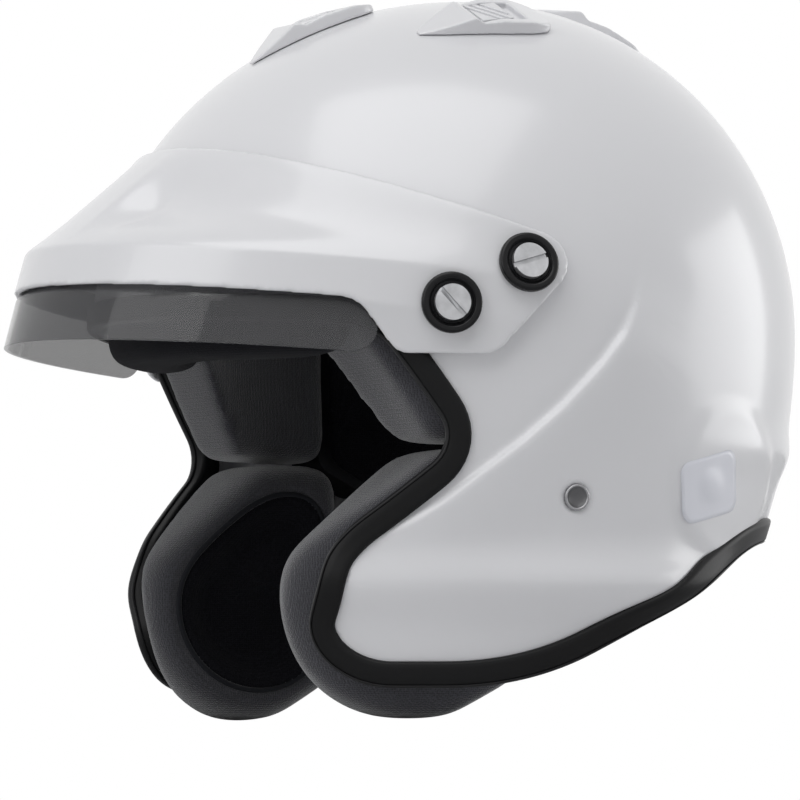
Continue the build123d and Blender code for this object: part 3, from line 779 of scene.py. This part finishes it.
@dataclass
class Rim:
    """The free edge of the trim in side view, from the brow to the nape."""

    form: HelmetForm
    brow: tuple[float, float] = (-88.0, -3.0)
    brow_rise: float = 4.5
    notch: tuple[float, float] = (-60.0, -46.0)
    cheek: tuple[float, float] = (-103.3, -85.5)
    jaw_bottom: float = -135.2
    jaw_sweep_y: float = -31.0
    nape: tuple[float, float] = (78.0, -79.0)
    nape_end_z: float = -78.5
    rounds: list[float] = field(default_factory=lambda: [20.0, 14.0, 42.0, 27.0, 118.0, 70.0])
    far: float = 207.0
    pitch: float = 2.2
    fine_pitch: float = 0.5
    limb: float = 0.985
    limb_turns: int = 12

    def outline(self) -> np.ndarray:
        """Draws the rim in side view, carried straight past both silhouettes.

        Returns:
            The line's points.
        """
        run = self.far + self.brow[0]
        reach = self.form.front_reach + self.brow[0]
        points = [
            (-self.far, self.brow[1] + self.brow_rise * run / reach),
            self.brow,
            self.notch,
            self.cheek,
            (self.cheek[0], self.jaw_bottom),
            (self.jaw_sweep_y, self.jaw_bottom),
            self.nape,
            (self.far, self.nape_end_z),
        ]
        return rounded(points, self.rounds)

    def loop(self) -> np.ndarray:
        """Lays the whole rim on the form as a closed line.

        Returns:
            The line's points: the left side from the brow, then the right.
        """
        line = resampled(self.outline(), self.fine_pitch)
        y, z = line[:, 0], line[:, 1]
        _, front, rear = self.form.radii(z)
        inside = np.where(y < 0, -y / front, y / rear) < self.limb
        middle = self.form.side(y[inside], z[inside])
        turn = np.arccos(self.limb) * np.linspace(0, 0.97, self.limb_turns)
        start = self.form.at(turn, self.z_at(middle[0, 2], turn))
        end = self.form.at(math.pi - turn[::-1], np.full_like(turn, middle[-1, 2]))
        left = resampled(np.concatenate([start, middle, end]), self.pitch)
        left[0, 0] = left[-1, 0] = 0.0
        right = left[-2:0:-1] * np.array([-1.0, 1.0, 1.0])
        return np.concatenate([left, right])

    def z_at(self, edge_z: float, turn: np.ndarray) -> np.ndarray:
        """Height of the brow edge between its last sampled place and the middle plane."""
        middle_z = self.brow[1] + self.brow_rise
        return edge_z + (middle_z - edge_z) * (1 - turn / turn.max())

    def below(self, y: np.ndarray, z: np.ndarray) -> np.ndarray:
        """Tells which places lie outside the shell, by the crossing number.

        Args:
            y: the places along, in side view.
            z: their heights.

        Returns:
            True for each place outside.
        """
        line = self.outline()
        closed = np.concatenate([line, [[self.far, -self.far], [-self.far, -self.far], line[0]]])
        a, b = closed[:-1], closed[1:]
        flat_y, flat_z = y.reshape(-1, 1), z.reshape(-1, 1)
        crosses = (a[:, 1] > flat_z) != (b[:, 1] > flat_z)
        rise = np.where(b[:, 1] == a[:, 1], 1e-9, b[:, 1] - a[:, 1])
        hit = a[:, 0] + (flat_z - a[:, 1]) / rise * (b[:, 0] - a[:, 0])
        return (np.sum(crosses & (flat_y < hit), axis=1) % 2 == 1).reshape(y.shape)

    def distance(self, y: np.ndarray, z: np.ndarray) -> np.ndarray:
        """Measures how far places lie from the rim's line.

        Args:
            y: the places along, in side view.
            z: their heights.

        Returns:
            The distances.
        """
        line = resampled(self.outline(), 2.0)
        gap = np.full(y.size, 1e9)
        flat = np.stack([y.ravel(), z.ravel()], -1)
        for chunk in np.array_split(np.arange(y.size), 16):
            apart = flat[chunk][:, None, :] - line[None, :, :]
            gap[chunk] = np.sqrt((apart**2).sum(-1)).min(1)
        return gap.reshape(y.shape)


@dataclass
class Shell:
    """The gloss shell with its soft relief, its rubber trim, its strap rivets and its bare label."""

    form: HelmetForm
    rim: Rim
    wall: float = 3.2
    coarse_turn: float = 1.4
    fine_turn: float = 0.55
    fine_turns: tuple[float, float] = (48.0, 104.0)
    dome_rows: int = 60
    dome_foot: float = 0.06
    fine_rise: float = 1.2
    coarse_rise: float = 2.2
    fine_top: float = 6.0
    fine_bottom: float = -80.0
    lowest: float = -138.0
    hidden_edge: float = 5.0
    brow_half: float = 60.0
    brow_front: float = -100.0
    brow_margin: float = 3.0
    crease_line: list[tuple[float, float]] = field(
        default_factory=lambda: [
            (13.0, 22.0), (6.4, 5.5), (1.2, -4.6), (-7.7, -15.9), (-23.2, -32.0),
            (-37.8, -45.0), (-51.8, -56.1), (-65.1, -67.1), (-77.8, -76.2), (-92.0, -86.0),
        ]
    )
    crease_height: float = 3.4
    crease_width: float = 3.4
    crease_fade: float = 24.0
    crease_ends: float = 18.0
    boss: tuple[float, float] = (55.0, -58.0)
    boss_radius: float = 33.0
    boss_edge: float = 9.0
    boss_height: float = 1.3
    rivet: tuple[float, float] = (-16.0, -65.6)
    dish_radius: float = 6.4
    dish_depth: float = 1.5
    dish_edge: float = 2.2
    label_corners: list[tuple[float, float]] = field(
        default_factory=lambda: [(27.5, -52.5), (55.5, -45.5), (59.5, -68.5), (30.0, -75.5)]
    )
    label_rounds: list[float] = field(default_factory=lambda: [5.0, 4.0, 5.0, 5.0])
    label_pitch: float = 1.2
    label_rings: int = 9
    label_lift: float = 0.12
    label_sheet: float = 0.1
    terminal: tuple[float, float] = (44.0, -59.9)
    terminal_radius: float = 5.5
    terminal_rise: float = 0.7
    rivet_turns: int = 40
    trim_passes: int = 3
    trim_flush: float = 0.7
    trim_flush_start: float = 84.0
    trim_flush_run: float = 22.0

    def creased(self, points: np.ndarray) -> np.ndarray:
        """Works out the side's relief: a crease whose step fades rearwards, and a boss at the terminal.

        Args:
            points: points near the form.

        Returns:
            The relief's height at each.
        """
        line = resampled(np.array(self.crease_line), 2.0)
        places = points.reshape(-1, 3)[:, 1:]
        out = np.zeros(len(places))
        tangent = np.gradient(line, axis=0)
        for chunk in np.array_split(np.arange(len(places)), 24):
            apart = places[chunk][:, None, :] - line[None, :, :]
            nearest = (apart**2).sum(-1).argmin(1)
            gap = apart[np.arange(len(chunk)), nearest]
            way = tangent[nearest]
            size = (way**2).sum(1)
            across = (way[:, 0] * gap[:, 1] - way[:, 1] * gap[:, 0]) / np.sqrt(size)
            along = nearest + (way * gap).sum(1) / size
            ends = eased(np.minimum(along, len(line) - 1 - along) / self.crease_ends)
            step = eased(across / self.crease_width + 0.5)
            fade = np.exp(-((np.maximum(across, 0) / self.crease_fade) ** 2))
            out[chunk] = self.crease_height * step * fade * ends
        away = np.hypot(places[:, 0] - self.boss[0], places[:, 1] - self.boss[1])
        out += self.boss_height * eased((self.boss_radius - away) / self.boss_edge)
        return out.reshape(points.shape[:-1])

    def rivet_place(self) -> np.ndarray:
        """Where the left rivet lies on the form, as one row."""
        return self.form.side(np.array([self.rivet[0]]), np.array([self.rivet[1]]))

    def dished(self, points: np.ndarray) -> np.ndarray:
        """Works out the shallow dish round each strap rivet.

        Args:
            points: points near the form.

        Returns:
            The dish's depth at each.
        """
        mirrored = np.concatenate([np.abs(points[..., :1]), points[..., 1:]], -1)
        gap = np.linalg.norm(mirrored - self.rivet_place()[0], axis=-1)
        return self.dish_depth * eased((self.dish_radius - gap) / self.dish_edge)

    def build(self) -> None:
        """Makes the shell as a grid of turns and heights, open where the rim says, fine at the sides."""
        start, end = self.fine_turns
        half = graded([(0.0, self.coarse_turn), (start, self.fine_turn), (end, self.coarse_turn)], 180.0)
        turn = np.radians(np.concatenate([half, 360.0 - half[-2:0:-1]]))
        rise = np.sin(np.linspace(math.pi / 2, self.dome_foot, self.dome_rows)) * self.form.crown_height
        below = graded([(self.fine_top, self.fine_rise), (self.fine_bottom, self.coarse_rise)], self.lowest)
        heights = np.concatenate([rise, below])
        z, around = np.meshgrid(heights, turn, indexing="ij")
        points = self.form.at(around, z)
        points[0] = (0.0, 0.0, self.form.crown_height)
        up = self.form.normals(points)
        up[0] = (0.0, 0.0, 1.0)
        points = points + up * (self.creased(points) - self.dished(points))[..., None]
        centres = (points[:-1] + np.roll(points, -1, 1)[:-1] + points[1:] + np.roll(points, -1, 1)[1:]) / 4
        y, height = centres[..., 1], centres[..., 2]
        keep = ~self.rim.below(y, height) & (self.rim.distance(y, height) > self.hidden_edge)
        near_front = (np.abs(centres[..., 0]) < self.brow_half) & (y < self.brow_front)
        keep |= near_front & (height > self.rim.brow[1] + self.rim.brow_rise + self.brow_margin)
        piece = grid_piece("shell_skin", points, GLOSS_WHITE, wrap_v=True, keep=keep)
        cleaned(piece)
        thicken(piece, self.wall)
        settle(piece, "shell")

    def trim(self) -> None:
        """Carries the trim's rounded U and its thin outer bead along the rim, seated on the shell."""
        rim = self.rim.loop()
        inward = np.cross(self.form.normals(rim), tangents(rim))
        inward *= math.copysign(1.0, inward[rim[:, 2].argmin(), 2])
        inward = evened(inward, self.trim_passes)
        share = (rim[:, 1] - self.trim_flush_start) / self.trim_flush_run
        proud = 1 - self.trim_flush * eased(share)[:, None]
        for name, section, finish in (
            ("rim_trim", TRIM_SECTION, TRIM_RUBBER),
            ("trim_bead", BEAD_SECTION, TRIM_BEAD),
        ):
            depth = section[:, 1]
            flat = rim[:, None, :] + inward[:, None, :] * section[None, :, 0, None]
            points = self.form.seated(flat, np.where(depth > 0, depth * proud, depth))
            piece = grid_piece(name, points, finish, wrap_u=True, wrap_v=True)
            cleaned(piece)
            settle(piece, "edge_trim", stands_for=name == "rim_trim")

    def rivets(self) -> None:
        """Hollow strap rivets: a polished ring with a well darkened as painted shade, one a side, each in its
        dish.
        """
        centre = self.rivet_place()
        outward = self.form.normals(centre)[0]
        centre = centre + outward * self.creased(centre)[:, None]
        along = unit(np.cross([0.0, 0.0, 1.0], outward))
        up = np.cross(outward, along)
        turn = np.linspace(0, 2 * math.pi, self.rivet_turns, endpoint=False)[None, :, None]
        spoke = np.cos(turn) * along + np.sin(turn) * up
        parts = (("ring", RING_PROFILE, RIVET_RING), ("well", WELL_PROFILE, RIVET_WELL_SHADE))
        for side, sign in (("left", 1.0), ("right", -1.0)):
            for part, profile, finish in parts:
                radius, height = profile[:, 0, None, None], profile[:, 1, None, None]
                points = (centre[0] + radius * spoke + height * outward) * np.array([sign, 1.0, 1.0])
                piece = grid_piece(f"rivet_{part}_{side}", points, finish, wrap_v=True)
                cleaned(piece, outward=False)
                settle(piece, "strap_rivets", stands_for=part == "ring")

    def label(self) -> None:
        """A bare label over the left terminal: four corners rounded and filled in side view, on the shell."""
        middle = (np.array(self.label_corners[0]) + np.array(self.label_corners[-1])) / 2
        edge = rounded([tuple(middle), *self.label_corners, tuple(middle)], self.label_rounds, 6)
        edge = resampled(edge, self.label_pitch)[:-1]
        centre = edge.mean(0)
        share = np.linspace(0, 1, self.label_rings)[:, None, None]
        flat = centre + (edge[None] - centre) * share
        points = self.form.side(flat[..., 0], flat[..., 1], self.label_lift + self.boss_height)
        away = np.hypot(flat[..., 0] - self.terminal[0], flat[..., 1] - self.terminal[1])
        swell = self.terminal_rise * np.exp(-((away / self.terminal_radius) ** 4))
        points = points + self.form.normals(points) * swell[..., None]
        piece = grid_piece("side_label", points, BARE_LABEL, wrap_v=True)
        cleaned(piece, outward=False)
        thicken(piece, self.label_sheet)
        settle(piece, "shell", stands_for=False)


@dataclass
class Hardware:
    """Rigid pieces that keep the solids' shape, merged, smoothed and softly bevelled."""

    sharp_degrees: float = 30.0
    bevels: dict[str, float] = field(
        default_factory=lambda: {"peak_screws": 0.2, "screw_washers": 1.0, "peak_shade": 0.3}
    )
    crease: tuple[float, float] = (10.2, -0.107)
    peak_top: tuple[float, float] = (22.2, -0.358)
    hollow: float = 8.5
    hollow_reach: float = 150.0
    hollow_way: tuple[float, float, float] = (0.0, 0.6, -0.8)
    hump_half: float = 13.0
    hump_flank: float = 17.0
    slot_turns: dict[str, float] = field(default_factory=lambda: {"front": -96.0, "rear": 30.0})
    screw_split_y: float = -50.0

    def refine(self, node: str, finish: Finish) -> bpy.types.Object:
        """Replaces a node by a merged copy with smooth faces and bevelled sharp edges.

        Args:
            node: the node.
            finish: its finish.

        Returns:
            The piece.
        """
        piece = copied(node, f"{node}_skin", finish)
        piece.data.set_sharp_from_angle(angle=math.radians(self.sharp_degrees))
        width = self.bevels.get(node, 0.0)
        if width:
            bevel = piece.modifiers.new("edges", "BEVEL")
            bevel.width = width * MM
            bevel.segments = 3
            bevel.limit_method = "ANGLE"
            bevel.angle_limit = math.radians(self.sharp_degrees)
            bevel.use_clamp_overlap = True
        settle(piece, node)
        return piece

    def mould(self, node: str, voxel: float, relax: int, draw_in: float = 0.0) -> bpy.types.Object:
        """Replaces a node by a gloss white copy with the soft edges of a moulding.

        Args:
            node: the node.
            voxel: size of the remesh in millimetres.
            relax: how often the surface is relaxed.
            draw_in: how far the surface is drawn in, in millimetres.

        Returns:
            The piece.
        """
        piece = remeshed(node, f"{node}_moulded", GLOSS_WHITE, voxel, relax, draw_in)
        settle(piece, node)
        return piece

    def hollowed(self, piece: bpy.types.Object) -> None:
        """Draws the peak in between its crease and its top edge, either side of a hump in front.

        Args:
            piece: the peak.
        """
        places = places_of(piece)
        y, z = places[:, 1], places[:, 2]
        above = z - (self.crease[0] + self.crease[1] * y)
        under = self.peak_top[0] + self.peak_top[1] * y - z
        share = np.clip(above / np.maximum(above + under, 1.0), 0, 1)
        forward = np.clip(-y / self.hollow_reach, 0, 1) ** 2
        beside = eased((np.abs(places[:, 0]) - self.hump_half) / self.hump_flank)
        depth = self.hollow * np.sin(math.pi * share) ** 2 * forward * beside
        move_to(piece, places + depth[:, None] * np.array(self.hollow_way))

    def turn_slots(self, piece: bpy.types.Object) -> None:
        """Turns each screw about its own axis, so that its slot lies as in the photograph.

        The axis is the direction that most of a screw's faces look along, and it goes through the
        middle of their areas.

        Args:
            piece: the four screws.
        """
        polygons = piece.data.polygons
        places = places_of(piece)
        normals, centres = np.empty(len(polygons) * 3), np.empty(len(polygons) * 3)
        areas = np.empty(len(polygons))
        polygons.foreach_get("normal", normals)
        polygons.foreach_get("center", centres)
        polygons.foreach_get("area", areas)
        normals, centres = normals.reshape(-1, 3), centres.reshape(-1, 3) / MM
        for side in (1, -1):
            for place, degrees in self.slot_turns.items():
                front = place == "front"
                faces = (centres[:, 0] * side > 0) & ((centres[:, 1] < self.screw_split_y) == front)
                spots = (places[:, 0] * side > 0) & ((places[:, 1] < self.screw_split_y) == front)
                weight = areas[faces, None]
                middle = (centres[faces] * weight).sum(0) / weight.sum()
                axis = np.linalg.eigh(normals[faces].T @ (normals[faces] * weight))[1][:, -1]
                axis *= math.copysign(1.0, axis[0] * side)
                angle = math.radians(degrees * side)
                arm = places[spots] - middle
                along = (arm @ axis)[:, None] * axis
                turned = along + (arm - along) * math.cos(angle) + np.cross(axis, arm) * math.sin(angle)
                places[spots] = middle + turned
        move_to(piece, places)

    def build(self) -> None:
        """Dresses every rigid node that is neither the shell nor its trim."""
        for node, finish in NODE_FINISHES.items():
            piece = self.refine(node, finish)
            if node == "peak_screws":
                self.turn_slots(piece)
        self.hollowed(self.mould("peak", 0.9, 5))
        for place in ("front", "left", "right", "rear"):
            self.mould(f"vent_{place}", 0.45, 12)
            self.mould(f"slider_{place}", 0.35, 5, draw_in=0.15)


@dataclass
class Padding:
    """Soft pieces, each remeshed from its plain solid, smoothed and given its seams."""

    voxel: float = 2.2
    relax: int = 26
    ripple: float = 0.1
    ripple_stand: float = 0.2
    cheek_points: list[tuple[float, float]] = field(
        default_factory=lambda: [
            (-60.0, -47.5), (-108.5, -88.0), (-108.5, -146.5),
            (-52.0, -146.5), (-27.0, -131.0), (-27.0, -47.5),
        ]
    )
    cheek_rounds: list[float] = field(default_factory=lambda: [10.0, 23.0, 44.0, 18.0, 8.0, 8.0])
    cheek_centre: tuple[float, float] = (-64.0, -99.0)
    cheek_inner: float = 50.0
    piping_radius: float = 1.2
    piping_stand: float = 0.4
    piping_turns: int = 8
    seam_share: float = 0.8
    seam_passes: int = 50
    seam_depth: float = 1.4
    seam_width: float = 2.6
    well_depth: float = 6.0
    well_run: float = 14.0
    # Where the inner face's painted shade begins, and how far past the seam it reaches.
    shaded_from: float = 0.2
    shaded_margin: float = 0.4

    def soften(
        self,
        node: str,
        name: str,
        voxel: float | None = None,
        relax: int | None = None,
        finish: Finish = KNITTED,
    ) -> bpy.types.Object:
        """Replaces a soft solid by a remeshed, relaxed and rippled copy.

        Args:
            node: the node.
            name: the piece's name.
            voxel: size of the remesh in millimetres.
            relax: how often the surface is relaxed.
            finish: its finish.

        Returns:
            The piece.
        """
        piece = remeshed(node, name, finish, voxel or self.voxel, relax or self.relax)
        self.pucker(piece)
        settle(piece, node)
        return piece

    def pucker(self, piece: bpy.types.Object) -> None:
        """Moves a pad's surface in and out by slow sine ripples along its normals.

        Args:
            piece: the pad.
        """
        normals = np.empty(len(piece.data.vertices) * 3)
        piece.data.vertex_normals.foreach_get("vector", normals)
        places = places_of(piece)
        x, y, z = places.T
        ripple = np.sin(x / 7.0 + y / 11.0) + np.sin(y / 8.0 - z / 9.5) + np.sin(z / 6.5 + x / 12.0)
        stand = ripple * self.ripple + self.ripple_stand
        move_to(piece, places + normals.reshape(-1, 3) * stand[:, None])

    def piping(self, name: str, node: str, path: np.ndarray) -> None:
        """Lays a round piping along a closed path.

        Args:
            name: the piece's name.
            node: the pad that it is sewn to.
            path: points in millimetres.
        """
        way = tangents(path)
        across = unit(np.cross(way, np.array([1.0, 0.0, 0.0])))
        other = np.cross(way, across)
        turn = np.linspace(0, 2 * math.pi, self.piping_turns, endpoint=False)
        ring = across[:, None] * np.cos(turn)[None, :, None] + other[:, None] * np.sin(turn)[None, :, None]
        piece = grid_piece(name, path[:, None] + ring * self.piping_radius, PIPING, wrap_u=True, wrap_v=True)
        cleaned(piece)
        settle(piece, node, stands_for=False)

    def cheek_outline(self, size: float) -> np.ndarray:
        """Draws the cheek pad's closed outline in side view.

        Args:
            size: its scale about its centre.

        Returns:
            The outline's points.
        """
        corners = self.cheek_points
        middle = tuple((np.array(corners[0]) + np.array(corners[-1])) / 2)
        line = rounded([middle, *corners, middle], self.cheek_rounds)
        centre = np.array(self.cheek_centre)
        return resampled(centre + (line - centre) * size, 2.0)[:-1]

    def seam(self) -> np.ndarray:
        """The seam on a cheek pad's inner face: its outline drawn in and evened out."""
        return evened(self.cheek_outline(self.seam_share), self.seam_passes)

    def sew_seam(self, piece: bpy.types.Object) -> None:
        """Draws in a cheek pad's inner face along its seam, sinks the face inside it, and gives that face the
        darker knit as painted shade.

        Args:
            piece: the pad.
        """
        places = places_of(piece)
        centre = np.array(self.cheek_centre)
        line = self.seam() - centre
        turns = np.arctan2(line[:, 1], line[:, 0])
        order = np.argsort(turns)
        arm = places[:, 1:] - centre
        edge = np.interp(
            np.arctan2(arm[:, 1], arm[:, 0]),
            turns[order],
            np.linalg.norm(line, axis=1)[order],
            period=2 * math.pi,
        )
        within = edge - np.linalg.norm(arm, axis=1)
        groove = self.seam_depth * np.exp(-((within / self.seam_width) ** 2))
        sunk = self.well_depth * eased(within / self.well_run)
        inner = np.clip((self.cheek_inner + self.well_run - np.abs(places[:, 0])) / self.well_run, 0, 1)
        places[:, 0] += np.sign(places[:, 0]) * inner * (groove + sunk)
        # Painted shade: the faces inside the seam take the darker copy of the knit.
        piece.data.materials.append(SHADED_KNIT.material())
        faces = np.empty(len(piece.data.polygons) * 4, np.int32)
        piece.data.polygons.foreach_get("vertices", faces)
        shaded_faces = (inner > self.shaded_from) & (within > -self.shaded_margin)
        piece.data.polygons.foreach_set("material_index", shaded_faces[faces.reshape(-1, 4)].all(1).astype(np.int32))
        move_to(piece, places)

    def build(self) -> None:
        """Makes every pad, and the piping round the cheek pads' inner faces."""
        for side, turn in (("left", 1), ("right", -1)):
            self.sew_seam(self.soften(f"cheek_pad_{side}", f"cheek_cushion_{side}", 1.4, 110))
            outline = self.seam()
            depth = turn * (self.cheek_inner + self.seam_depth + self.piping_stand)
            path = np.column_stack([np.full(len(outline), depth), outline])
            self.piping(f"cheek_piping_{side}", f"cheek_pad_{side}", path)
            self.soften(f"temple_pad_{side}", f"temple_cushion_{side}")
        # The brow and the head lining take the darker knit as painted shade.
        self.soften("brow_pad", "brow_cushion", finish=SHADED_KNIT)
        self.soften("neck_pad", "neck_roll")
        self.soften("comfort_liner", "head_lining", 4.0, finish=SHADED_KNIT)


@dataclass(frozen=True)
class Lamp:
    """A soft square lamp that looks at the helmet, in metres and watts."""

    name: str
    place: tuple[float, float, float]
    size: float
    power: float

    def build(self) -> None:
        """Sets the lamp up."""
        data = bpy.data.lights.new(self.name, "AREA")
        data.shape = "SQUARE"
        data.size = self.size
        data.energy = self.power
        lamp = placed(self.name, data)
        lamp.location = self.place
        lamp.rotation_euler = Vector(self.place).to_track_quat("Z", "Y").to_euler()


LAMPS = (
    Lamp("top_lamp", (0.8, -0.6, 2.3), 2.2, 33.0),
    Lamp("front_lamp", (0.7, -2.7, 1.4), 2.0, 22.0),
    Lamp("rear_lamp", (0.5, 2.8, 0.2), 2.0, 34.0),
)


@dataclass
class Studio:
    """Camera, lamps, floor and white surround."""

    azimuth: float = 63.0
    elevation: float = -3.5
    distance: float = 2600.0
    scale: float = 2.6
    image_width: float = 800.0
    centre: tuple[float, float] = (466.32, 337.66)
    sensor: float = 36.0
    clip_end: float = 50.0
    sky: tuple[float, float, float] = (0.9, 0.92, 0.95)
    sky_strength: float = 0.17
    floor_level: float = -146.9
    floor_half: float = 3000.0
    floor_colour: tuple[float, float, float] = (0.86, 0.86, 0.865)
    floor_roughness: float = 0.7

    def camera(self) -> None:
        """A long lens aimed along the photograph's line, shifted so that the origin lands in place."""
        data = bpy.data.cameras.new("camera")
        data.sensor_width = self.sensor
        data.lens = self.sensor * self.scale * self.distance / self.image_width
        data.shift_x = (self.image_width / 2 - self.centre[0]) / self.image_width
        data.shift_y = (self.centre[1] - self.image_width / 2) / self.image_width
        data.clip_end = self.clip_end
        camera = placed("camera", data)
        turn, tilt = math.radians(self.azimuth), math.radians(self.elevation)
        back = Vector((math.sin(turn) * math.cos(tilt), -math.cos(turn) * math.cos(tilt), math.sin(tilt)))
        camera.location = back * self.distance * MM
        camera.rotation_euler = back.to_track_quat("Z", "Y").to_euler()
        bpy.context.scene.camera = camera

    def world(self) -> None:
        """Plain grey light for the helmet, white where the camera, gloss and glass look out."""
        world = bpy.data.worlds.new("surround")
        bpy.context.scene.world = world
        world.use_nodes = True
        tree = world.node_tree
        nodes, links = tree.nodes, tree.links
        nodes.clear()
        out = nodes.new("ShaderNodeOutputWorld")
        light, white = nodes.new("ShaderNodeBackground"), nodes.new("ShaderNodeBackground")
        light.inputs["Color"].default_value = (*self.sky, 1.0)
        light.inputs["Strength"].default_value = self.sky_strength
        white.inputs["Color"].default_value = (1.0, 1.0, 1.0, 1.0)
        path = nodes.new("ShaderNodeLightPath")
        seen = joined(tree, "MAXIMUM", path.outputs["Is Camera Ray"], path.outputs["Is Glossy Ray"])
        seen = joined(tree, "MAXIMUM", seen, path.outputs["Is Transmission Ray"])
        mix = nodes.new("ShaderNodeMixShader")
        links.new(seen, mix.inputs[0])
        links.new(light.outputs[0], mix.inputs[1])
        links.new(white.outputs[0], mix.inputs[2])
        links.new(mix.outputs[0], out.inputs["Surface"])

    def floor(self) -> None:
        """A pale floor, seen from above only, because the camera looks from just below it."""
        half, z = self.floor_half * MM, self.floor_level * MM
        places = [(-half, -half, z), (half, -half, z), (half, half, z), (-half, half, z)]
        mesh = bpy.data.meshes.new("floor")
        mesh.from_pydata(places, [], [(0, 1, 2, 3)])
        material = bpy.data.materials.new("pale_floor")
        material.use_nodes = True
        nodes, links = material.node_tree.nodes, material.node_tree.links
        shader = nodes["Principled BSDF"]
        shader.inputs["Base Color"].default_value = (*self.floor_colour, 1.0)
        shader.inputs["Roughness"].default_value = self.floor_roughness
        side = nodes.new("ShaderNodeNewGeometry")
        clear = nodes.new("ShaderNodeBsdfTransparent")
        mix = nodes.new("ShaderNodeMixShader")
        links.new(side.outputs["Backfacing"], mix.inputs[0])
        links.new(shader.outputs[0], mix.inputs[1])
        links.new(clear.outputs[0], mix.inputs[2])
        links.new(mix.outputs[0], nodes["Material Output"].inputs["Surface"])
        mesh.materials.append(material)
        placed("floor", mesh)

    def build(self) -> None:
        """Sets the whole studio up."""
        self.camera()
        for lamp in LAMPS:
            lamp.build()
        self.world()
        self.floor()
        bpy.context.scene.view_settings.view_transform = "Standard"


def corners(box: tuple) -> list[list[float]]:
    """A box as plain lists of numbers."""
    return [[float(value) for value in corner] for corner in box]


def main() -> None:
    """Builds the helmet's pieces in order, then the studio."""
    form = HelmetForm()
    shell = Shell(form, Rim(form))
    shell.build()
    shell.trim()
    shell.rivets()
    shell.label()
    Hardware().build()
    Padding().build()
    Studio().build()


if __name__ == "__main__":
    main()
